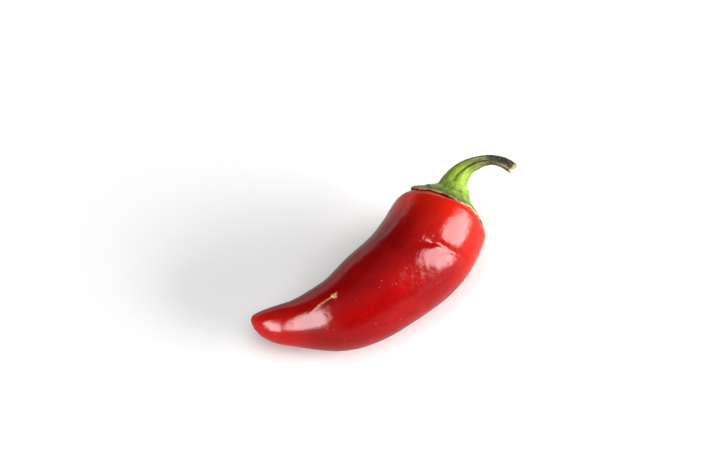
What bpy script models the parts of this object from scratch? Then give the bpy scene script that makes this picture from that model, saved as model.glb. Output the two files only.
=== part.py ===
"""A red chilli pepper lying on its side: a solid pod, a lobed calyx over its shoulder and a curved stem.

Metres, +Z up. The pod's tip points to -X, the stem to +X, and the origin is under the middle of the
whole pepper, on the surface that it lies on. Sizes below are in millimetres and degrees.
"""

import bmesh
import bpy
import numpy as np

MM = 0.001

GAP = 0.3  # air between neighbouring solids, which grow into one another on the real pepper

# Pod. Stations run along its middle line from the tip, 0, to the calyx, 1.
POD_LENGTH = 86.0
POD_WIDTH = 33.0
TIP_ROUNDING = 11.0  # length over which the tip closes
SHOULDER_ROUNDING = 8.5  # length over which the shoulder closes under the calyx
SHOULDER_POWER = 2.2  # 2 closes the shoulder as an ellipse, more makes it squarer
RIDGE = 0.022  # height of the three rounded ridges that a chilli's chambers make, as a share of its radius
RIDGE_ANGLE = 200.0
GIRTH_STATIONS = (0.0, 0.15, 0.3, 0.45, 0.6, 0.75, 0.87, 1.0)
GIRTH = (0.30, 0.44, 0.69, 0.86, 0.935, 1.0, 1.0, 0.94)  # share of POD_WIDTH
HEADING = (-56.0, -30.0, -22.0, 4.5, 9.5, 23.5, 36.0, 33.0)  # the bend, seen from above
PITCH_STATIONS = (0.0, 0.15, 0.3, 0.5, 0.7, 0.85, 1.0)
PITCH = (-3.0, 6.0, 13.5, 8.0, 2.5, 3.5, 19.0)  # the climb that keeps the widening underside level

# Calyx: a thin cap with five pointed sepals that follows the shoulder and rises to a seat for the stem.
CALYX_REACH = 15.6  # from the axis to a sepal's point, over the skin
CALYX_THICKNESS = 1.2
RIM_SLOPE = 0.4  # how far the rim slopes inward to its upper edge, as a share of the thickness
CALYX_LEAN = 1.6  # how much farther it reaches on one side than on the other
CALYX_LEAN_ANGLE = 80.0
SEPALS = 5
SEPAL_ANGLE = 125.0
SEPAL_POINT = 0.8  # 0 gives a round rim, 1 straight edges between the points
SEAT_HEIGHT = 2.3  # from the shoulder's end to the stem's seat
SEAT_MARGIN = 0.3  # how much wider than the stem's foot the seat is, all round
SEAT_RISE_POWER = 1.6  # 1 rises to the seat as a straight cone, more flares out

# Stem, swept along a curve that starts square to its seat and swings sideways.
STEM_LENGTH = 27.5
STEM_FOOT_WIDTH = 8.4
STEM_STATIONS = (0.0, 0.12, 0.28, 0.45, 0.65, 0.85, 0.95, 1.0)
STEM_GIRTH = (1.0, 0.9, 0.74, 0.56, 0.42, 0.4, 0.43, 0.42)
STEM_TURN = (0.0, -6.0, 14.0, 38.0, 63.0, 91.0, 105.0, 111.0)
STEM_RIDGES = 5
STEM_RIDGE = 0.05  # share of the stem's radius

# Mesh fineness
LINE_STEPS = 801
POD_RINGS = 60
POD_SIDES = 48
CALYX_RINGS = 12
CALYX_SIDES = 60
STEM_RINGS = 28
STEM_SIDES = 20
SHARP_EDGE = 50.0

POD_RED = (0.42, 0.005, 0.006)
CALYX_GREEN = (0.22, 0.20, 0.05)
STEM_GREEN = (0.36, 0.46, 0.10)


def through(stations, values, t):
    """A smooth curve through the values at their stations, read at t."""
    x = np.asarray(stations, float)
    y = np.asarray(values, float)
    t = np.clip(np.asarray(t, float), x[0], x[-1])
    slope = np.gradient(y, x)
    i = np.clip(np.searchsorted(x, t, side="right") - 1, 0, len(x) - 2)
    width = x[i + 1] - x[i]
    s = (t - x[i]) / width
    start = (2 * s**3 - 3 * s**2 + 1) * y[i] + (s**3 - 2 * s**2 + s) * width * slope[i]
    end = (3 * s**2 - 2 * s**3) * y[i + 1] + (s**3 - s**2) * width * slope[i + 1]
    return start + end


def walk(directions, length):
    """Points reached by following evenly spaced directions over the length, from the origin."""
    step = length / (len(directions) - 1)
    moves = (directions[1:] + directions[:-1]) / 2 * step
    return np.vstack([np.zeros(3), np.cumsum(moves, axis=0)])


def read_rows(t, fine, rows):
    """Rows given at the evenly spaced stations fine, read at t."""
    return np.stack([np.interp(t, fine, column) for column in rows.T], axis=-1)


def unit(vectors):
    return vectors / np.linalg.norm(vectors, axis=-1, keepdims=True)


def closing(distance, length, power):
    """Rises from 0 at an end to 1 at length from it, along a rounded profile."""
    x = np.clip(distance / length, 0, 1)
    return (1 - (1 - x) ** power) ** (1 / power)


def pod_line(t):
    """The middle line's points and directions at the stations t."""
    fine = np.linspace(0, 1, LINE_STEPS)
    heading = np.radians(through(GIRTH_STATIONS, HEADING, fine))
    pitch = np.radians(through(PITCH_STATIONS, PITCH, fine))
    level = np.cos(pitch)
    directions = np.stack([np.cos(heading) * level, np.sin(heading) * level, np.sin(pitch)], axis=1)
    points = walk(directions, POD_LENGTH)
    return read_rows(t, fine, points), unit(read_rows(t, fine, directions))


def pod_radius(t):
    girth = through(GIRTH_STATIONS, GIRTH, t) * POD_WIDTH / 2
    tip = closing(t * POD_LENGTH, TIP_ROUNDING, 2)
    shoulder = closing((1 - t) * POD_LENGTH, SHOULDER_ROUNDING, SHOULDER_POWER)
    return girth * tip * shoulder


def ridges(t, angle):
    strength = RIDGE * np.clip(t / 0.8, 0, 1)
    return 1 + strength * np.cos(3 * (angle - np.radians(RIDGE_ANGLE)))


def pod_point(t, angle):
    """Points of the pod's skin at stations t and angles, 0 to its right and 90 degrees on top."""
    centre, direction = pod_line(t)
    right = unit(np.cross(direction, (0, 0, 1)))
    top = np.cross(right, direction)
    radius = (pod_radius(t) * ridges(t, angle))[..., None]
    return centre + radius * (np.cos(angle)[..., None] * right + np.sin(angle)[..., None] * top)


def station_at(distance):
    """The station that lies the distance away from the shoulder's end, measured over the skin."""
    t = 1 - 0.5 * np.linspace(0, 1, LINE_STEPS) ** 3
    steps = np.hypot(np.diff(pod_radius(t)), np.diff(t) * POD_LENGTH)
    return np.interp(distance, np.concatenate([(0,), np.cumsum(steps)]), t)


def pod_end():
    """The middle of the shoulder's end, the calyx's axis and the direction to its right."""
    centre, axis = pod_line(np.array(1.0))
    return centre, axis, unit(np.cross(axis, (0, 0, 1)))


def grid(first, second):
    return np.meshgrid(first, second, indexing="ij")


def turns(sides):
    return np.linspace(0, 2 * np.pi, sides, endpoint=False)


def pod_rings():
    half_turn = np.linspace(0, np.pi, POD_RINGS + 2)[1:-1]
    t = 0.75 * (1 - np.cos(half_turn)) / 2 + 0.25 * half_turn / np.pi
    return pod_point(*grid(t, turns(POD_SIDES)))


def calyx_reach(angle):
    """How far the rim reaches over the skin: five points with nearly straight edges between them."""
    wedge = 2 * np.pi / SEPALS
    off_middle = np.mod(angle - np.radians(SEPAL_ANGLE), wedge) - wedge / 2
    straight = np.cos(wedge / 2) / np.cos(off_middle)
    lean = CALYX_LEAN * np.cos(angle - np.radians(CALYX_LEAN_ANGLE))
    return CALYX_REACH * straight**SEPAL_POINT + lean


def outward_at(t, angle):
    """The pod's outward normal, from two short steps along its skin."""
    step = 0.002
    skin = pod_point(t, angle)
    towards_tip = pod_point(t - step, angle) - skin
    around = pod_point(t, angle + step) - skin
    return unit(np.cross(around, towards_tip))


def calyx_rings():
    """Rings outward along the underside, over the narrower upper rim and back along the top."""
    share = np.linspace(0, 1, CALYX_RINGS + 1)[1:]
    share, angle = grid(np.concatenate([share, share[::-1]]), turns(CALYX_SIDES))
    upper = np.repeat((0.0, 1.0), CALYX_RINGS)[:, None]
    reach = calyx_reach(angle) - upper * CALYX_THICKNESS * RIM_SLOPE
    distance = share * reach
    seat = STEM_FOOT_WIDTH / 2 + SEAT_MARGIN
    rise = np.clip((reach - distance) / (reach - seat), 0, 1) ** SEAT_RISE_POWER
    top = GAP + CALYX_THICKNESS + (SEAT_HEIGHT - GAP - CALYX_THICKNESS) * rise
    lift = np.where(upper > 0, top, GAP)[..., None]
    t = station_at(distance)
    return pod_point(t, angle) + lift * outward_at(t, angle)


def stem_line(t):
    """The stem's middle line: points, directions and the sideways direction square to them."""
    centre, axis, right = pod_end()
    fine = np.linspace(0, 1, LINE_STEPS)
    turn = np.radians(through(STEM_STATIONS, STEM_TURN, fine))[:, None]
    directions = np.cos(turn) * axis + np.sin(turn) * right
    points = centre + axis * (SEAT_HEIGHT + GAP) + walk(directions, STEM_LENGTH)
    sideways = np.cos(turn) * right - np.sin(turn) * axis
    return read_rows(t, fine, points), read_rows(t, fine, sideways)


def stem_rings():
    """Rings square to the stem's curve, from its foot on the calyx to its cut end."""
    _, axis, right = pod_end()
    t, angle = grid(np.linspace(0, 1, STEM_RINGS), turns(STEM_SIDES))
    middle, sideways = stem_line(t)
    upward = np.cross(right, axis)
    radius = through(STEM_STATIONS, STEM_GIRTH, t) * STEM_FOOT_WIDTH / 2
    radius = (radius * (1 + STEM_RIDGE * np.cos(STEM_RIDGES * angle)))[..., None]
    return middle + radius * (np.cos(angle)[..., None] * sideways + np.sin(angle)[..., None] * upward)


def skinned(name, rings, colour, roughness):
    """One closed body through the rings, closed at each end with a fan to the end ring's middle."""
    mesh = bpy.data.meshes.new(name)
    made = bmesh.new()
    rows = [[made.verts.new(point * MM) for point in ring] for ring in rings]
    sides = len(rows[0])
    for low, high in zip(rows, rows[1:]):
        for i in range(sides):
            j = (i + 1) % sides
            made.faces.new((low[i], low[j], high[j], high[i]))
    for row, ring in ((rows[0], rings[0]), (rows[-1], rings[-1])):
        middle = made.verts.new(ring.mean(axis=0) * MM)
        for i in range(sides):
            made.faces.new((row[i], row[(i + 1) % sides], middle))
    bmesh.ops.recalc_face_normals(made, faces=made.faces)
    made.to_mesh(mesh)
    made.free()
    mesh.shade_smooth()
    mesh.set_sharp_from_angle(angle=np.radians(SHARP_EDGE))
    material = bpy.data.materials.new(name)
    material.use_nodes = True
    principled = material.node_tree.nodes["Principled BSDF"]
    principled.inputs["Base Color"].default_value = (*colour, 1)
    principled.inputs["Roughness"].default_value = roughness
    mesh.materials.append(material)
    bpy.context.scene.collection.objects.link(bpy.data.objects.new(name, mesh))


def main():
    for old in list(bpy.data.objects):
        bpy.data.objects.remove(old)
    pieces = {"pod": pod_rings(), "calyx": calyx_rings(), "stem": stem_rings()}
    points = np.concatenate([rings.reshape(-1, 3) for rings in pieces.values()])
    low, high = points.min(axis=0), points.max(axis=0)
    origin = np.array([(low[0] + high[0]) / 2, (low[1] + high[1]) / 2, low[2]])
    looks = {"pod": (POD_RED, 0.28), "calyx": (CALYX_GREEN, 0.6), "stem": (STEM_GREEN, 0.5)}
    for name, rings in pieces.items():
        skinned(name, rings - origin, *looks[name])


main()
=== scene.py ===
"""Looks of the red chilli pepper: fine skins for its pod, calyx and stem, their materials and a plain studio.

Sizes are in millimetres and degrees. The first block repeats the CAD model's own values, so that each skin
lies on the solid it stands for. Skins are worked out in the CAD script's coordinates and then moved onto
the frame.
"""

import math

import bpy
import numpy as np
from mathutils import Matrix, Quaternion, Vector


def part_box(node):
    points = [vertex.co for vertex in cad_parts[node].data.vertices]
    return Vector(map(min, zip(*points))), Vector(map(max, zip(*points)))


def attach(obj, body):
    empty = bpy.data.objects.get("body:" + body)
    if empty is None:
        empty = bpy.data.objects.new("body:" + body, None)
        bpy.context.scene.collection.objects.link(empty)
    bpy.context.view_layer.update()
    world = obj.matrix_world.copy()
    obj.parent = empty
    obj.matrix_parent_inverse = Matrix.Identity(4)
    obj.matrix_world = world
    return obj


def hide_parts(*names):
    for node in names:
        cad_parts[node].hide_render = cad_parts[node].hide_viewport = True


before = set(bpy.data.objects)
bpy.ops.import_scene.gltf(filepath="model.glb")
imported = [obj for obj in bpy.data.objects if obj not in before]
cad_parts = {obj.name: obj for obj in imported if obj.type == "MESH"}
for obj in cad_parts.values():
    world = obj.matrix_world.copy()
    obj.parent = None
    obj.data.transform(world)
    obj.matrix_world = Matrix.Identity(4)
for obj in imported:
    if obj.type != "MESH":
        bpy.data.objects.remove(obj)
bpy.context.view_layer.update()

MM = 0.001

# The CAD model's shape, as part.py has it
POD_LENGTH = 86.0
POD_WIDTH = 33.0
TIP_ROUNDING = 11.0
SHOULDER_ROUNDING = 8.5
SHOULDER_POWER = 2.2
RIDGE = 0.022
RIDGE_ANGLE = 200.0
GIRTH_STATIONS = (0.0, 0.15, 0.3, 0.45, 0.6, 0.75, 0.87, 1.0)
GIRTH = (0.30, 0.44, 0.69, 0.86, 0.935, 1.0, 1.0, 0.94)
HEADING = (-56.0, -30.0, -22.0, 4.5, 9.5, 23.5, 36.0, 33.0)
PITCH_STATIONS = (0.0, 0.15, 0.3, 0.5, 0.7, 0.85, 1.0)
PITCH = (-3.0, 6.0, 13.5, 8.0, 2.5, 3.5, 19.0)
CALYX_REACH = 15.6
CALYX_LEAN = 1.6
CALYX_LEAN_ANGLE = 80.0
SEPALS = 5
SEPAL_ANGLE = 125.0
SEPAL_POINT = 0.8
FOOT_HEIGHT = 2.6  # from the pod's end to the stem's foot: the CAD model's seat height and its gap
STEM_LENGTH = 27.5
STEM_FOOT_WIDTH = 8.4
STEM_STATIONS = (0.0, 0.12, 0.28, 0.45, 0.65, 0.85, 0.95, 1.0)
STEM_GIRTH = (1.0, 0.9, 0.74, 0.56, 0.42, 0.4, 0.43, 0.42)
STEM_TURN = (0.0, -6.0, 14.0, 38.0, 63.0, 91.0, 105.0, 111.0)

# Mesh fineness
LINE_STEPS = 801
PATH_STEPS = 60
POD_RINGS = 300
POD_SIDES = 260
POD_RING_CROWDED = 0.55  # this share of the rings' places crowds towards the pod's two ends
POD_RING_EVEN = 0.45  # and this share is even
CALYX_RINGS = 44
CALYX_SIDES = 300
STEM_RINGS = 190
STEM_SIDES = 84
STEM_CAP_RINGS = (0.93, 0.8, 0.6, 0.4, 0.2, 0.08)  # radii on the cut end, as shares of the stem's
BOX_STATIONS = (0.002, 0.998, 400)  # first, last and number, for the box of the CAD pod
BOX_SIDES = 180

# Features of the pod's skin. Places are (station, angle): stations run from the tip, 0, to the calyx, 1.
# A layer of smooth noise is (height, size of its lumps, seed).
POD_LUMPS = ((0.06, 11.0, 1), (0.02, 5.0, 2))
POD_CREASES = ((0.012, 1.6, 3), (0.006, 0.8, 4))
VALLEY_PATH = ((0.695, 80.0), (0.722, 66.0), (0.741, 51.0), (0.762, 32.0), (0.79, 12.0))
VALLEY_DEPTH = 1.15
VALLEY_WIDTH = 1.9
VALLEY_FLOOR = 0.5  # half the width of its rounded floor
VALLEY_WANDER = ((0.1, 1.8, 6),)
VALLEY_UNEVEN = ((0.1, 1.6, 5),)
DIMPLE = (0.735, 79.0)
DIMPLE_DEPTH = 0.45
DIMPLE_WIDTH = 4.0
SCAR_PATH = ((0.245, 72.0), (0.275, 78.5), (0.311, 83.5), (0.358, 88.5))
SCAR_BEAD = 0.8  # spacing of the corky beads
SCAR_HEIGHT = 0.22
SCAR_WIDTH = 0.38
SCAR_KNOT = 1.15  # radius of the corky knot at the scar's end
KNOT_LUMPS = ((0.35, 0.7, 41),)
KNOT_HOLLOW = 0.7  # radius of the dent in the knot's middle
FURROW_DEPTH = 0.35
FURROW_STATIONS = (0.84, 0.95)  # where the furrows between the sepals start and are deepest
TIP_SCAR = 1.3  # radius of the dry spot where the flower was
TIP_HEIGHT = 0.25

# Features of the calyx. Widths round it are in radians.
CALYX_TEETH = (  # angle, reach and width of the rim's uneven teeth and nicks
    (118.0, 1.2, 0.16),
    (89.0, -1.3, 0.10),
    (70.0, 1.4, 0.18),
    (50.0, -1.4, 0.14),
    (30.0, 0.4, 0.17),
)
RIM_INSET = 0.4
RIM_RAGGED = ((0.25, 0.35, 11), (0.14, 0.12, 12))  # sizes are shares of the calyx's radius
RIM_THICKNESS = 0.3
RIM_BEAD = 0.12
RIM_BEAD_PLACE = 0.965  # places in the rim are shares of the way out to its edge
RIM_BEAD_WIDTH = 0.03
RIM_START = 0.93  # where the cap starts to round off towards its edge
RIM_WIDTH = 0.07
CAP_THICKNESS = 0.8  # added from the rim to half way in
CALYX_LUMPS = ((0.10, 2.2, 21), (0.05, 0.9, 22))
VEIN_WIDTH = 0.9
VEIN_HEIGHT = 0.35
CREASE_RADIUS = 5.9
CREASE_DEPTH = 0.25
CREASE_WIDTH = 0.5
CREASE_SHADE_WIDTH = 0.8  # width of the painted shade in it
NECK_HEIGHT = 4.6  # how far the calyx climbs the stem
NECK_RADIUS = 4.2
NECK_SPREAD = 2.4
CURL = 0.08
CURL_WAVES = ((0.10, 3.5, 23),)
LIFTED_SEPAL = 142.0
LIFTED_WIDTH = 0.42
LIFTED_THICKNESS = 0.4
LIFTED_CURL = 0.5
DRY_SEPAL = 138.0
DRY_WIDTH = 0.5
UNDERSIDE = -0.25  # the cap's underside sinks this far into the pod
CALYX_TUBE = 6.0  # radius of the tube that the cap's texture is wrapped round

# Features of the stem
STEM_TWIST = 0.5
STEM_RIBS = ((0.055, 5, 0.6), (0.03, 8, 2.0), (0.015, 17, 0.0))  # strength, count and phase
STEM_LONG_LUMPS = ((0.06, 1.6, 31),)
STEM_LUMPS = ((0.03, 0.7, 32),)
COLLAR_HEIGHT = 0.9
COLLAR_LENGTH = 1.5
FLARE = 1.5  # widening of the foot on the hook's outer side
FLARE_REACH = (2.5, 11.0)
BURR_HEIGHT = 0.16
BURR_LENGTH = 0.8
GROOVE_ANGLE = 1.45  # radians at the foot
GROOVE_TURN = -0.35
GROOVE_WIDTH = 0.3
GROOVE_DEPTH = 0.3
CUT_RAGGED = ((0.22, 0.8, 33),)
CUT_SLANT = 0.25
CUT_SLANT_ANGLE = 2.2
CUT_HOLLOW = 0.35
CUT_LUMPS = ((0.12, 0.5, 34),)

# Colours, as linear red, green and blue, from 0 to 1
DEEP_RED = (0.165, 0.0005, 0.0008)
FULL_RED = (0.225, 0.0008, 0.0012)
GRAIN_RED = (0.34, 0.003, 0.0025)
# painted light: the lighter red towards the shoulder, where the key light falls
LIT_SHOULDER_RED = (0.55, 0.012, 0.003)
TIP_RED = (0.48, 0.006, 0.004)
FLECK = (0.75, 0.16, 0.08)
DARK_CORK = (0.30, 0.10, 0.03)
PALE_CORK = (0.72, 0.42, 0.16)
DRY_TIP = (0.45, 0.20, 0.07)
NECK_GREEN = (0.24, 0.36, 0.03)
CAP_GREEN = (0.15, 0.24, 0.03)
EDGE_GREEN = (0.09, 0.12, 0.028)
BLOTCH_GREEN = (0.04, 0.075, 0.022)
VEIN_GREEN = (0.26, 0.34, 0.09)
DRY_PALE = (0.15, 0.17, 0.085)
DRY_DARK = (0.035, 0.035, 0.016)
RIM_DARK = (0.09, 0.06, 0.025)
RIM_TAN = (0.46, 0.28, 0.13)
# painted shade for the crease round the stem
CREASE_SHADE_GREEN = (0.03, 0.055, 0.03)
FOOT_GREEN = (0.24, 0.36, 0.03)
BRIGHT_GREEN = (0.20, 0.31, 0.02)
MIDDLE_GREEN = (0.19, 0.27, 0.016)
OLIVE = (0.13, 0.14, 0.03)
BROWN = (0.06, 0.055, 0.022)
BLACKENED = (0.022, 0.020, 0.012)
FIBRE_PALE = (0.44, 0.50, 0.20)
FIBRE_DARK = (0.07, 0.09, 0.018)
# painted highlight: paler tan on the inner side of the stem's dark end
INNER_SHEEN_BROWN = (0.13, 0.09, 0.05)
INNER_SHEEN_TAN = (0.34, 0.25, 0.15)
WORN_DARK = (0.022, 0.019, 0.010)
WORN_PALE = (0.20, 0.17, 0.09)
SPECK = (0.30, 0.30, 0.17)
# painted shade for the groove down the stem
GROOVE_SHADE_GREEN = (0.03, 0.045, 0.01)
DARK_WOOD = (0.10, 0.075, 0.035)
PALE_WOOD = (0.55, 0.42, 0.21)
PAPER = (0.86, 0.86, 0.86)
MIRRORED_PAPER = (0.34, 0.34, 0.34)

# The studio
CAMERA_AZIMUTH = -31.0
CAMERA_ELEVATION = 55.0
CAMERA_DISTANCE = 564.0
CAMERA_LENS = 85.0
CAMERA_CLIP = (0.01, 20)  # metres
AIM = (-4.76, 16.09, 15.2)
FLOOR_RADIUS = 1150.0
FLOOR_SIDES = 96
FLOOR_GAP = 0.02
LIGHT_DISTANCE = 1100.0
ROOM_BAND = (0.02, 0.2)  # heights between which the room darkens, as shares of straight up
ROOM_LOW = 0.15
ROOM_HIGH = 0.03


def unit(vectors):
    return vectors / np.linalg.norm(vectors, axis=-1, keepdims=True)


def through(stations, values, t):
    """A smooth curve through the values at their stations, read at t."""
    x = np.asarray(stations, float)
    y = np.asarray(values, float)
    t = np.clip(np.asarray(t, float), x[0], x[-1])
    slope = np.gradient(y, x)
    i = np.clip(np.searchsorted(x, t, side="right") - 1, 0, len(x) - 2)
    width = x[i + 1] - x[i]
    s = (t - x[i]) / width
    start = (2 * s**3 - 3 * s**2 + 1) * y[i] + (s**3 - 2 * s**2 + s) * width * slope[i]
    end = (3 * s**2 - 2 * s**3) * y[i + 1] + (s**3 - s**2) * width * slope[i + 1]
    return start + end


def walk(directions, length):
    """Points reached by following evenly spaced directions over the length, from the origin."""
    step = length / (len(directions) - 1)
    moves = (directions[1:] + directions[:-1]) / 2 * step
    return np.vstack([np.zeros(3), np.cumsum(moves, axis=0)])


def read_rows(t, fine, rows):
    """Rows given at the evenly spaced stations fine, read at t."""
    return np.stack([np.interp(t, fine, column) for column in rows.T], axis=-1)


def closing(distance, length, power):
    """Rises from 0 at an end to 1 at length from it, along a rounded profile."""
    x = np.clip(distance / length, 0, 1)
    return (1 - (1 - x) ** power) ** (1 / power)


def fade(value, low, high):
    """Smoothly 0 below low and 1 above high."""
    x = np.clip((value - low) / (high - low), 0, 1)
    return x * x * (3 - 2 * x)


def hump(distance, width):
    """A bell curve: 1 at no distance, falling off over the width."""
    return np.exp(-((distance / width) ** 2))


def waves(points, size, seed, count=36):
    """Smooth noise of lumps about size across, with a root mean square of 1."""
    draw = np.random.default_rng(seed)
    directions = unit(draw.normal(size=(count, 3)))
    speeds = draw.uniform(0.7, 1.4, count) * math.pi / size
    phases = draw.uniform(0, 2 * math.pi, count)
    total = sum(np.cos(points @ d * k + p) for d, k, p in zip(directions, speeds, phases))
    return total / math.sqrt(count / 2)


def relief(points, layers):
    """The sum of layers of smooth noise, each a (height, size, seed)."""
    return sum(height * waves(points, size, seed) for height, size, seed in layers)


def grid(first, second):
    return np.meshgrid(first, second, indexing="ij")


def turns(sides):
    return np.linspace(0, 2 * np.pi, sides, endpoint=False)


def wrapped(length, angle, radius):
    """Texture coordinates that run along a tube of that radius and round it."""
    return np.stack([length, np.cos(angle) * radius, np.sin(angle) * radius], axis=-1)


def angle_between(angle, other):
    """The difference of two angles in radians, from -pi to pi."""
    return np.mod(angle - other + np.pi, 2 * np.pi) - np.pi


# The pod


def pod_line(t):
    """The middle line's points and directions at the stations t."""
    fine = np.linspace(0, 1, LINE_STEPS)
    heading = np.radians(through(GIRTH_STATIONS, HEADING, fine))
    pitch = np.radians(through(PITCH_STATIONS, PITCH, fine))
    level = np.cos(pitch)
    directions = np.stack([np.cos(heading) * level, np.sin(heading) * level, np.sin(pitch)], axis=1)
    points = walk(directions, POD_LENGTH)
    return read_rows(t, fine, points), unit(read_rows(t, fine, directions))


def pod_radius(t):
    girth = through(GIRTH_STATIONS, GIRTH, t) * POD_WIDTH / 2
    tip = closing(t * POD_LENGTH, TIP_ROUNDING, 2)
    shoulder = closing((1 - t) * POD_LENGTH, SHOULDER_ROUNDING, SHOULDER_POWER)
    return girth * tip * shoulder


def ridges(t, angle):
    """The pod's three soft ridges, as a factor on its radius."""
    strength = RIDGE * np.clip(t / 0.8, 0, 1)
    return 1 + strength * np.cos(3 * (angle - np.radians(RIDGE_ANGLE)))


def pod_point(t, angle):
    """Points of the CAD pod's skin at stations t and angles, 0 to its right and 90 degrees on top."""
    centre, direction = pod_line(t)
    right = unit(np.cross(direction, (0, 0, 1)))
    top = np.cross(right, direction)
    radius = (pod_radius(t) * ridges(t, angle))[..., None]
    return centre + radius * (np.cos(angle)[..., None] * right + np.sin(angle)[..., None] * top)


def outward_at(t, angle):
    """The pod's outward normal, from two short steps along its skin."""
    step = 0.002
    skin = pod_point(t, angle)
    towards_tip = pod_point(t - step, angle) - skin
    around = pod_point(t, angle + step) - skin
    return unit(np.cross(around, towards_tip))


def station_at(distance):
    """The station that lies the distance away from the shoulder's end, measured over the skin."""
    t = 1 - 0.5 * np.linspace(0, 1, LINE_STEPS) ** 3
    steps = np.hypot(np.diff(pod_radius(t)), np.diff(t) * POD_LENGTH)
    return np.interp(distance, np.concatenate([(0,), np.cumsum(steps)]), t)


def pod_end():
    """The middle of the shoulder's end, the calyx's axis and the direction to its right."""
    centre, axis = pod_line(np.array(1.0))
    return centre, axis, unit(np.cross(axis, (0, 0, 1)))


def skin_path(places):
    """Evenly numbered points on the skin along a path through (station, angle) places."""
    stations, angles = np.array(places).T
    share = np.linspace(0, 1, len(places))
    fine = np.linspace(0, 1, PATH_STEPS)
    return pod_point(through(share, stations, fine), np.radians(through(share, angles, fine)))


def nearest_on(path, points):
    """Each point's distance from the path, how far along it the nearest point is, and the path's length."""
    along = np.concatenate([(0,), np.cumsum(np.linalg.norm(np.diff(path, axis=0), axis=1))])
    best = np.full(points.shape[:-1], np.inf)
    where = np.zeros(points.shape[:-1])
    for point, length in zip(path, along):
        distance = np.linalg.norm(points - point, axis=-1)
        where = np.where(distance < best, length, where)
        best = np.minimum(best, distance)
    return best, where, along[-1]


def scar_marks(points):
    """Height and strength of the corky scar: a string of beads that ends in a knot."""
    path = skin_path(SCAR_PATH)
    distance, along, length = nearest_on(path, points)
    growth = fade(along, 0, 0.6 * length) * 0.8 + 0.2
    bead = 0.5 + 0.5 * np.cos(2 * np.pi * along / SCAR_BEAD)
    line = hump(distance, SCAR_WIDTH) * growth * (0.35 + 0.65 * bead)
    knot_distance = np.linalg.norm(points - path[-1], axis=-1)
    knot = hump(knot_distance, SCAR_KNOT) * (0.8 + relief(points, KNOT_LUMPS))
    strength = np.clip(np.maximum(line, knot * 1.1), 0, 1)
    return SCAR_HEIGHT * (line + 1.5 * knot * fade(knot_distance, 0.0, KNOT_HOLLOW)), strength


def valley_depth(skin):
    """The slanting valley across the front and the dimple at its upper end."""
    distance, along, length = nearest_on(skin_path(VALLEY_PATH), skin)
    fading = np.sin(np.pi * np.clip(along / length, 0.03, 0.97)) ** 0.4
    distance = np.abs(distance + relief(skin, VALLEY_WANDER))
    profile = np.exp(-np.hypot(distance, VALLEY_FLOOR) / VALLEY_WIDTH)
    valley = VALLEY_DEPTH * fading * profile * (1 + relief(skin, VALLEY_UNEVEN))
    dimple = pod_point(np.array(DIMPLE[0]), np.radians(DIMPLE[1]))
    return valley + DIMPLE_DEPTH * hump(np.linalg.norm(skin - dimple, axis=-1), DIMPLE_WIDTH)


def furrow_depth(t, angle):
    """Shallow furrows that run out from under the calyx, between its sepals."""
    between = np.radians(SEPAL_ANGLE + 180 / SEPALS)
    furrow = 0.5 + 0.5 * np.cos(SEPALS * (angle - between))
    return FURROW_DEPTH * furrow**3 * fade(t, *FURROW_STATIONS)


def pod_rings():
    """The detailed skin with its marks: corky scar, dry tip and nearness to the calyx."""
    half_turn = np.linspace(0, np.pi, POD_RINGS + 2)[1:-1]
    t = POD_RING_CROWDED * (1 - np.cos(half_turn)) / 2 + POD_RING_EVEN * half_turn / np.pi
    t, angle = grid(t, turns(POD_SIDES))
    skin = pod_point(t, angle)
    middle = fade(t, 0.0, 0.06) * fade(1 - t, 0.0, 0.03)
    uneven = relief(skin, POD_LUMPS) + relief(skin, POD_CREASES)
    scar_height, scar = scar_marks(skin)
    tip = hump(np.linalg.norm(skin - pod_line(np.array(0.0))[0], axis=-1), TIP_SCAR)
    lift = middle * uneven - valley_depth(skin) - furrow_depth(t, angle) + scar_height + TIP_HEIGHT * tip
    rings = skin + lift[..., None] * outward_at(t, angle)
    straight = wrapped(t * POD_LENGTH, angle, pod_radius(t))
    return rings, {"scar": scar, "tip": tip, "station": t, "straight": straight}


# The calyx


def calyx_reach(angle):
    """How far the rim reaches over the skin: five pointed sepals with slightly hollow, uneven edges."""
    wedge = 2 * np.pi / SEPALS
    off_middle = np.mod(angle - np.radians(SEPAL_ANGLE), wedge) - wedge / 2
    straight = np.cos(wedge / 2) / np.cos(off_middle)
    lean = CALYX_LEAN * np.cos(angle - np.radians(CALYX_LEAN_ANGLE))
    circle = np.stack([np.cos(angle), np.sin(angle), 0 * angle], axis=-1)
    teeth = sum(reach * hump(angle_between(angle, np.radians(at)), width) for at, reach, width in CALYX_TEETH)
    return CALYX_REACH * straight**SEPAL_POINT + lean - RIM_INSET + relief(circle, RIM_RAGGED) + teeth


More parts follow.
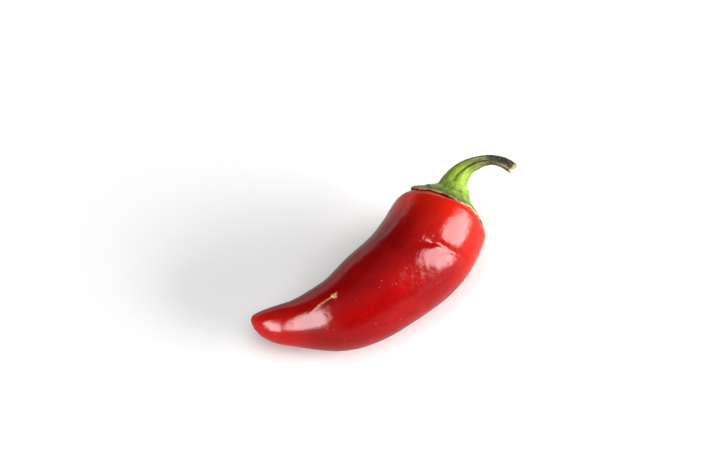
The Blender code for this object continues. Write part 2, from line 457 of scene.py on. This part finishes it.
def calyx_rings():
    """The detailed cap: veins to the sepals' points, a crease round the stem and a dry, lifted rim."""
    share = np.linspace(0, 1, CALYX_RINGS + 1)[1:] ** 0.8
    share, angle = grid(np.concatenate([share, share[::-1]]), turns(CALYX_SIDES))
    upper = np.repeat((0.0, 1.0), CALYX_RINGS)[:, None]
    distance = share * calyx_reach(angle)
    t = station_at(distance)
    skin = pod_point(t, angle)
    wedge = 2 * np.pi / SEPALS
    off_vein = np.mod(angle - np.radians(SEPAL_ANGLE) + wedge / 2, wedge) - wedge / 2
    vein = hump(off_vein * distance, VEIN_WIDTH) * fade(distance, 3, 6) * fade(1 - share, 0.0, 0.15)
    lifted = hump(angle_between(angle, np.radians(LIFTED_SEPAL)), LIFTED_WIDTH)
    thickness = RIM_THICKNESS + CAP_THICKNESS * fade(1 - share, 0.0, 0.5) + LIFTED_THICKNESS * lifted
    bead = RIM_BEAD * hump(share - RIM_BEAD_PLACE, RIM_BEAD_WIDTH)
    neck = NECK_HEIGHT * np.exp(-np.clip(distance - NECK_RADIUS, 0, None) / NECK_SPREAD)
    crease = CREASE_DEPTH * hump(distance - CREASE_RADIUS, CREASE_WIDTH)
    lumps = relief(skin, CALYX_LUMPS) * fade(1 - share, 0.0, 0.1)
    curl = fade(share, 0.72, 1.0) * (CURL + relief(skin, CURL_WAVES) + LIFTED_CURL * lifted)
    rim_taper = np.sqrt(np.clip(1 - ((share - RIM_START) / RIM_WIDTH).clip(0, 1) ** 2, 0, 1))
    top = (thickness + bead) * rim_taper + neck + VEIN_HEIGHT * vein - crease + lumps
    lift = curl + np.where(upper > 0, top, UNDERSIDE * rim_taper)
    rings = skin + lift[..., None] * outward_at(t, angle)
    marks = {
        "share": share,
        "vein": vein,
        # where the crease's painted shade goes
        "crease": hump(distance - CREASE_RADIUS, CREASE_SHADE_WIDTH),
        "dry": hump(angle_between(angle, np.radians(DRY_SEPAL)), DRY_WIDTH) * fade(share, 0.45, 0.7),
        "straight": wrapped(distance, angle, CALYX_TUBE),
    }
    return rings, marks


# The stem


def stem_line(t):
    """The stem's middle line, the sideways direction square to it and the direction along it."""
    centre, axis, right = pod_end()
    fine = np.linspace(0, 1, LINE_STEPS)
    turn = np.radians(through(STEM_STATIONS, STEM_TURN, fine))[:, None]
    directions = np.cos(turn) * axis + np.sin(turn) * right
    points = centre + axis * FOOT_HEIGHT + walk(directions, STEM_LENGTH)
    sideways = np.cos(turn) * right - np.sin(turn) * axis
    return read_rows(t, fine, points), read_rows(t, fine, sideways), read_rows(t, fine, directions)


def stem_rings():
    """The detailed stalk: ribs that twist a little, a flared foot, and a cut end with a ragged edge."""
    _, axis, right = pod_end()
    t = np.concatenate([np.linspace(0, 1, STEM_RINGS), np.ones(len(STEM_CAP_RINGS))])
    inset = np.concatenate([np.ones(STEM_RINGS), STEM_CAP_RINGS])[:, None]
    t, angle = grid(t, turns(STEM_SIDES))
    middle, sideways, forward = stem_line(t)
    upward = np.cross(right, axis)
    radius = through(STEM_STATIONS, STEM_GIRTH, t) * STEM_FOOT_WIDTH / 2
    twist = angle + STEM_TWIST * t
    ribs = sum(strength * np.cos(count * twist + phase) for strength, count, phase in STEM_RIBS)
    straight = wrapped(t * STEM_LENGTH, angle, radius)
    lumps = relief(straight * (0.5, 1, 1), STEM_LONG_LUMPS) + relief(straight, STEM_LUMPS)
    outer = (1 - np.cos(angle)) / 2
    collar = COLLAR_HEIGHT * hump(t * STEM_LENGTH, COLLAR_LENGTH)
    foot = collar + FLARE * outer * (1 - fade(t * STEM_LENGTH, *FLARE_REACH))
    burr = BURR_HEIGHT * hump((1 - t) * STEM_LENGTH, BURR_LENGTH)
    off_groove = angle_between(angle, GROOVE_ANGLE + GROOVE_TURN * t) * radius
    groove = hump(off_groove, GROOVE_WIDTH) * fade(t, 0.22, 0.34) * fade(1 - t, 0.28, 0.42)
    radius = radius * (1 + ribs) + lumps + foot + burr - GROOVE_DEPTH * groove
    slant = CUT_SLANT * np.cos(angle - CUT_SLANT_ANGLE)
    ragged = (relief(straight * (0, 1, 1), CUT_RAGGED) + slant) * fade(t, 0.97, 1.0)
    hollow = CUT_HOLLOW * (1 - inset**2) - relief(straight * inset[..., None], CUT_LUMPS) * (1 - inset)
    radius = (radius * inset)[..., None]
    rings = middle + radius * (np.cos(angle)[..., None] * sideways + np.sin(angle)[..., None] * upward)
    rings = rings + (ragged * inset - hollow * (inset < 1))[..., None] * forward
    # The inner mark picks the hook's inner side, where the material paints a highlight.
    return rings, {"along": t, "inner": (1 + np.cos(angle)) / 2, "groove": groove, "straight": straight}


# Meshes


def skinned(name, rings, marks, material, offset):
    """One closed body through the rings, with a float or vector attribute for each mark."""
    count, sides = rings.shape[:2]
    closed = [rings.reshape(-1, 3), rings[:1].mean(axis=1), rings[-1:].mean(axis=1)]
    points = (np.concatenate(closed) + offset) * MM
    points[:, 2] = np.maximum(points[:, 2], 0)
    row = np.arange(count - 1)[:, None] * sides
    here = row + np.arange(sides)
    after = row + (np.arange(sides) + 1) % sides
    quads = np.stack([here, after, after + sides, here + sides], axis=-1).reshape(-1, 4)
    first = count * sides
    last = first + 1
    start_fan = [(int(b), int(a), first) for a, b in zip(here[0], after[0])]
    end_fan = [(int(a), int(b), last) for a, b in zip(here[-1] + sides, after[-1] + sides)]
    mesh = bpy.data.meshes.new(name)
    mesh.from_pydata(points.tolist(), [], quads.tolist() + start_fan + end_fan)
    if outward_volume(points, quads) < 0:
        mesh.flip_normals()
    for mark, values in marks.items():
        kind, field = ("FLOAT_VECTOR", "vector") if values.ndim == 3 else ("FLOAT", "value")
        values = values.reshape(count, sides, -1)
        ends = [values.reshape(count * sides, -1), values[:1].mean(axis=1), values[-1:].mean(axis=1)]
        attribute = mesh.attributes.new(mark, kind, "POINT")
        attribute.data.foreach_set(field, np.concatenate(ends).astype(np.float32).ravel())
    mesh.shade_smooth()
    mesh.materials.append(material)
    piece = bpy.data.objects.new(name, mesh)
    bpy.context.scene.collection.objects.link(piece)
    return piece


def outward_volume(points, quads):
    """Positive when the quads turn anticlockwise as seen from outside."""
    a, b, c, d = (points[quads[:, k]] for k in range(4))
    halves = np.cross(b, c) * a, np.cross(c, d) * a
    return sum(half.sum() for half in halves)


# Materials


class Nodes:
    """Short calls to build a material's node tree."""

    def __init__(self, name):
        self.material = bpy.data.materials.new(name)
        self.material.use_nodes = True
        self.tree = self.material.node_tree
        self.shader = self.tree.nodes["Principled BSDF"]

    def put(self, value, socket):
        if isinstance(value, bpy.types.NodeSocket):
            self.tree.links.new(value, socket)
        elif isinstance(value, tuple) and len(value) == 3 and socket.type == "RGBA":
            socket.default_value = (*value, 1)
        else:
            socket.default_value = value

    def surface(self, **values):
        """Sets the shader's inputs; an underscore in a name stands for a space."""
        for key, value in values.items():
            self.put(value, self.shader.inputs[key.replace("_", " ")])

    def add(self, kind, settings=None, **inputs):
        node = self.tree.nodes.new(kind)
        for key, value in (settings or {}).items():
            setattr(node, key, value)
        for key, value in inputs.items():
            self.put(value, node.inputs[key])
        return node

    def mark(self, name, output="Fac"):
        return self.add("ShaderNodeAttribute", {"attribute_name": name}).outputs[output]

    def noise(self, where, size, detail=2.0, stretch=(1, 1, 1), roughness=0.5, distortion=0.0):
        """Noise from 0 to 1, in lumps about size millimetres across."""
        scaled = self.add("ShaderNodeVectorMath", {"operation": "MULTIPLY"})
        self.put(where, scaled.inputs[0])
        self.put(tuple(s / size for s in stretch), scaled.inputs[1])
        inputs = {"Vector": scaled.outputs[0], "Scale": 1.0, "Detail": detail, "Roughness": roughness}
        return self.add("ShaderNodeTexNoise", None, **inputs, Distortion=distortion).outputs["Fac"]

    def cells(self, where, size):
        """Distance from the nearest of many scattered points about size millimetres apart."""
        scaled = self.add("ShaderNodeVectorMath", {"operation": "SCALE"}, Scale=1 / size)
        self.put(where, scaled.inputs[0])
        return self.add("ShaderNodeTexVoronoi", None, Vector=scaled.outputs[0], Scale=1.0).outputs["Distance"]

    def spread(self, value, low, high, to_low=0.0, to_high=1.0):
        """The value's stretch from low to high, mapped smoothly and kept between the ends."""
        node = self.add("ShaderNodeMapRange", {"interpolation_type": "SMOOTHSTEP"})
        for socket, given in zip(node.inputs, (value, low, high, to_low, to_high)):
            self.put(given, socket)
        return node.outputs[0]

    def calc(self, operation, first, second):
        node = self.add("ShaderNodeMath", {"operation": operation})
        self.put(first, node.inputs[0])
        self.put(second, node.inputs[1])
        return node.outputs[0]

    def mix(self, share, first, second):
        node = self.add("ShaderNodeMix", {"data_type": "RGBA"})
        for index, given in ((0, share), (6, first), (7, second)):
            self.put(given, node.inputs[index])
        return node.outputs[2]

    def ramp(self, value, *stops):
        node = self.add("ShaderNodeValToRGB", None, Fac=value)
        stretch = node.color_ramp
        while len(stretch.elements) < len(stops):
            stretch.elements.new(0.5)
        for element, (place, colour) in zip(stretch.elements, stops):
            element.position = place
            element.color = (*colour, 1)
        return node.outputs["Color"]

    def bump(self, height, millimetres, normal=None):
        """Relief of that height where the value runs from 0 to 1."""
        node = self.add("ShaderNodeBump", None, Strength=1.0, Distance=millimetres * MM, Height=height)
        if normal:
            self.put(normal, node.inputs["Normal"])
        return node.outputs["Normal"]


def pod_material():
    """Waxy red skin: uneven red, pale flecks, a corky scar and fine pores and wrinkles, with painted light as
    a lighter red towards the shoulder.
    """
    m = Nodes("pod_skin")
    where = m.mark("straight", "Vector")
    cloud = m.noise(where, 14, 3)
    grain = m.noise(where, 2.2, 4, (0.5, 1, 1))
    red = m.ramp(cloud, (0.3, DEEP_RED), (0.7, FULL_RED))
    red = m.mix(m.spread(grain, 0.35, 0.75, 0.0, 0.25), red, GRAIN_RED)
    station = m.mark("station")
    # Painted light: the red turns lighter towards the shoulder, standing for the key light on that side.
    red = m.mix(m.spread(station, 0.66, 0.94, 0.0, 0.88), red, LIT_SHOULDER_RED)
    red = m.mix(m.spread(station, 0.30, 0.05, 0.0, 0.6), red, TIP_RED)
    fleck = m.spread(m.cells(where, 2.6), 0.035, 0.075, 0.6, 0.0)
    red = m.mix(fleck, red, FLECK)
    cork = m.ramp(m.noise(where, 0.45, 3), (0.3, DARK_CORK), (0.75, PALE_CORK))
    broken = m.spread(m.noise(where, 0.45, 2), 0.35, 0.6, 0.7, 1.15)
    scar = m.spread(m.calc("MULTIPLY", m.mark("scar"), broken), 0.25, 0.6)
    red = m.mix(scar, red, cork)
    tip = m.spread(m.mark("tip"), 0.35, 0.9)
    red = m.mix(m.calc("MULTIPLY", tip, 0.75), red, DRY_TIP)
    dry = m.calc("MAXIMUM", scar, tip)
    pores = m.noise(where, 0.45, 2, (0.8, 1, 1), 0.6)
    wrinkle = m.noise(where, 1.1, 3, (0.7, 1, 1), 0.55, 0.6)
    skin = m.bump(pores, 0.034, m.bump(wrinkle, 0.04))
    m.surface(Base_Color=red, Roughness=m.spread(dry, 0.0, 1.0, 0.27, 0.7), Normal=skin)
    m.surface(IOR=1.45, Specular_IOR_Level=0.03)
    m.surface(Coat_Weight=0.8, Coat_IOR=1.38, Coat_Roughness=0.13, Coat_Normal=skin)
    return m.material


def calyx_material():
    """Leafy cap: green by the stem, greyer outward, with a dry tan rim and painted shade in the crease round
    the stem.
    """
    m = Nodes("calyx_skin")
    where = m.mark("straight", "Vector")
    share = m.mark("share")
    blotch = m.noise(where, 1.8, 4, distortion=0.5)
    green = m.ramp(share, (0.35, NECK_GREEN), (0.6, CAP_GREEN), (0.9, EDGE_GREEN))
    green = m.mix(m.spread(blotch, 0.5, 0.72, 0.0, 0.75), green, BLOTCH_GREEN)
    green = m.mix(m.spread(m.mark("vein"), 0.1, 0.9, 0.0, 0.5), green, VEIN_GREEN)
    dry = m.mix(m.spread(blotch, 0.45, 0.6), DRY_PALE, DRY_DARK)
    green = m.mix(m.calc("MULTIPLY", m.mark("dry"), 0.9), green, dry)
    tan = m.ramp(m.noise(where, 1.1, 3), (0.35, RIM_DARK), (0.6, RIM_TAN))
    green = m.mix(m.spread(share, 0.93, 0.975), green, tan)
    # Painted shade: the crease round the stem is darkened in the colour, for the shade that falls in it.
    green = m.mix(m.calc("MULTIPLY", m.mark("crease"), 0.45), green, CREASE_SHADE_GREEN)
    veins = m.noise(where, 0.9, 4, (0.35, 1, 1), 0.6)
    m.surface(Base_Color=green, Roughness=m.spread(blotch, 0.2, 0.8, 0.42, 0.62))
    m.surface(Specular_IOR_Level=0.12, Normal=m.bump(veins, 0.22))
    return m.material


def stem_material():
    """Ribbed stalk: bright green by the pod, olive and then nearly black towards a pale cut end, with a
    painted highlight of paler tan on the dark end's inner side and painted shade in its groove.
    """
    m = Nodes("stem_skin")
    where = m.mark("straight", "Vector")
    along = m.mark("along")
    uneven = m.calc("MULTIPLY", m.calc("SUBTRACT", m.noise(where, 3.2, 3, (0.5, 1, 1)), 0.5), 0.35)
    base = m.ramp(
        m.calc("ADD", along, uneven),
        (0.0, FOOT_GREEN),
        (0.12, BRIGHT_GREEN),
        (0.36, MIDDLE_GREEN),
        (0.56, OLIVE),
        (0.74, BROWN),
        (0.90, BLACKENED),
    )
    streak = m.noise(where, 0.55, 3, (0.12, 1, 1), 0.6)
    base = m.mix(m.spread(streak, 0.52, 0.72, 0.0, 0.6), base, FIBRE_PALE)
    base = m.mix(m.spread(streak, 0.46, 0.30, 0.0, 0.7), base, FIBRE_DARK)
    # Painted highlight: the dark end's inner side turns paler tan, standing for the highlights along the
    # stem's underside.
    pale = m.mix(m.spread(streak, 0.42, 0.62), INNER_SHEEN_BROWN, INNER_SHEEN_TAN)
    worn_end_and_sheen = m.mix(m.spread(streak, 0.62, 0.8), WORN_DARK, WORN_PALE)
    worn_end_and_sheen = m.mix(m.spread(m.mark("inner"), 0.62, 0.85), worn_end_and_sheen, pale)
    base = m.mix(m.spread(along, 0.60, 0.88, 0.0, 0.92), base, worn_end_and_sheen)
    speck = m.spread(m.noise(where, 0.5, 2, (0.5, 1, 1), 0.7), 0.56, 0.66, 0.0, 0.6)
    base = m.mix(m.calc("MULTIPLY", speck, m.spread(along, 0.4, 0.6)), base, SPECK)
    # Painted shade: the groove is darkened in the colour, for the shade that falls in it.
    base = m.mix(m.calc("MULTIPLY", m.mark("groove"), 0.8), base, GROOVE_SHADE_GREEN)
    wood = m.ramp(m.noise(where, 0.35, 3), (0.35, DARK_WOOD), (0.65, PALE_WOOD))
    base = m.mix(m.spread(along, 0.975, 0.995), base, wood)
    fibres = m.noise(where, 0.5, 4, (0.10, 1, 1), 0.6)
    m.surface(Base_Color=base, Roughness=m.spread(streak, 0.3, 0.7, 0.38, 0.55))
    m.surface(Specular_IOR_Level=0.12, Normal=m.bump(fibres, 0.16))
    return m.material


# The studio


def toward(azimuth, elevation):
    """The unit vector from the object to a viewer at that azimuth and elevation."""
    a = math.radians(azimuth)
    e = math.radians(elevation)
    return Vector((math.sin(a) * math.cos(e), -math.cos(a) * math.cos(e), math.sin(e)))


def facing(obj, direction, roll=0.0):
    """Turns a camera or light to look along the reverse of the direction, rolled by that many degrees."""
    turn = (-direction).to_track_quat("-Z", "Y") @ Quaternion((0, 0, 1), math.radians(roll))
    obj.rotation_euler = turn.to_euler()


def add_camera():
    data = bpy.data.cameras.new("camera")
    data.lens = CAMERA_LENS
    data.clip_start, data.clip_end = CAMERA_CLIP
    camera = bpy.data.objects.new("camera", data)
    back = toward(CAMERA_AZIMUTH, CAMERA_ELEVATION)
    camera.location = (Vector(AIM) + back * CAMERA_DISTANCE) * MM
    facing(camera, back)
    bpy.context.scene.collection.objects.link(camera)
    bpy.context.scene.camera = camera


def softbox(name, side, elevation, wide, high, radiance, roll=0.0, shines=True, lights=True):
    """An oval area light that faces the pepper, wide and high in degrees as the pepper sees it.

    The side is its angle round from the camera, anticlockwise seen from above.
    """
    data = bpy.data.lights.new(name, "AREA")
    data.shape = "ELLIPSE"
    data.size = 2 * LIGHT_DISTANCE * math.tan(math.radians(wide / 2)) * MM
    data.size_y = 2 * LIGHT_DISTANCE * math.tan(math.radians(high / 2)) * MM
    area = math.pi / 4 * data.size * data.size_y
    data.energy = radiance * math.pi * area
    light = bpy.data.objects.new(name, data)
    direction = toward(CAMERA_AZIMUTH + side, elevation)
    light.location = direction * LIGHT_DISTANCE * MM
    light.visible_camera = False
    light.visible_glossy = shines
    light.visible_diffuse = lights
    facing(light, direction, roll)
    bpy.context.scene.collection.objects.link(light)


def add_lights():
    """Boxes that only shine, for the shapes of the highlights, and boxes that only light, for the shade."""
    softbox("key_shine", side=82, elevation=27, wide=42, high=70, radiance=16.0, lights=False)
    softbox("key_light", side=80, elevation=13, wide=58, high=28, radiance=20.0, shines=False)
    softbox("fill_shine", side=-61, elevation=24, wide=29, high=53, radiance=19.0, roll=63.0, lights=False)
    softbox("fill_light", side=-40, elevation=9, wide=66, high=18, radiance=11.0, shines=False)
    softbox("back_shine", side=-150, elevation=3, wide=80, high=18, radiance=0.8, lights=False)
    softbox("top_light", side=0, elevation=82, wide=76, high=76, radiance=1.8, shines=False)


def add_floor():
    """A pale paper disc that mirrors darker than it looks, so that the pod's red stays deep."""
    mesh = bpy.data.meshes.new("floor")
    edge = [(FLOOR_RADIUS * math.cos(a), FLOOR_RADIUS * math.sin(a), -FLOOR_GAP) for a in turns(FLOOR_SIDES)]
    mesh.from_pydata([tuple(c * MM for c in corner) for corner in edge], [], [tuple(range(FLOOR_SIDES))])
    floor = bpy.data.objects.new("floor", mesh)
    bpy.context.scene.collection.objects.link(floor)
    m = Nodes("floor_paper")
    mirrored = m.add("ShaderNodeLightPath").outputs["Is Glossy Ray"]
    m.surface(Base_Color=m.mix(mirrored, PAPER, MIRRORED_PAPER), Roughness=0.9, Specular_IOR_Level=0.1)
    mesh.materials.append(m.material)


def add_world():
    """Pale behind the object for the camera, and a dim room, brighter at floor level, for the light."""
    world = bpy.data.worlds.new("studio")
    bpy.context.scene.world = world
    world.use_nodes = True
    tree = world.node_tree
    background = tree.nodes["Background"]
    position = tree.nodes.new("ShaderNodeTexCoord")
    split = tree.nodes.new("ShaderNodeSeparateXYZ")
    tree.links.new(position.outputs["Generated"], split.inputs[0])
    band = tree.nodes.new("ShaderNodeMapRange")
    band.interpolation_type = "SMOOTHSTEP"
    tree.links.new(split.outputs["Z"], band.inputs["Value"])
    band.inputs["From Min"].default_value, band.inputs["From Max"].default_value = ROOM_BAND
    band.inputs["To Min"].default_value = ROOM_LOW
    band.inputs["To Max"].default_value = ROOM_HIGH
    path = tree.nodes.new("ShaderNodeLightPath")
    seen = tree.nodes.new("ShaderNodeMath")
    seen.operation = "MAXIMUM"
    tree.links.new(band.outputs[0], seen.inputs[0])
    tree.links.new(path.outputs["Is Camera Ray"], seen.inputs[1])
    tree.links.new(seen.outputs[0], background.inputs["Strength"])
    background.inputs["Color"].default_value = (1, 1, 1, 1)


def build():
    """Adds the three skins, moved from the CAD script's coordinates onto the frame by the pod's box."""
    skin = pod_point(*grid(np.linspace(*BOX_STATIONS), turns(BOX_SIDES))).reshape(-1, 3)
    offset = np.array(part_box("pod")[0]) / MM - skin.min(axis=0)
    for name, rings, material in (
        ("pod", pod_rings, pod_material),
        ("calyx", calyx_rings, calyx_material),
        ("stem", stem_rings, stem_material),
    ):
        piece = skinned(name + "_skin", *rings(), material(), offset)
        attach(piece, "root")
        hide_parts(name)


build()
add_floor()
add_world()
add_camera()
add_lights()
bpy.context.scene.view_settings.view_transform = "Standard"
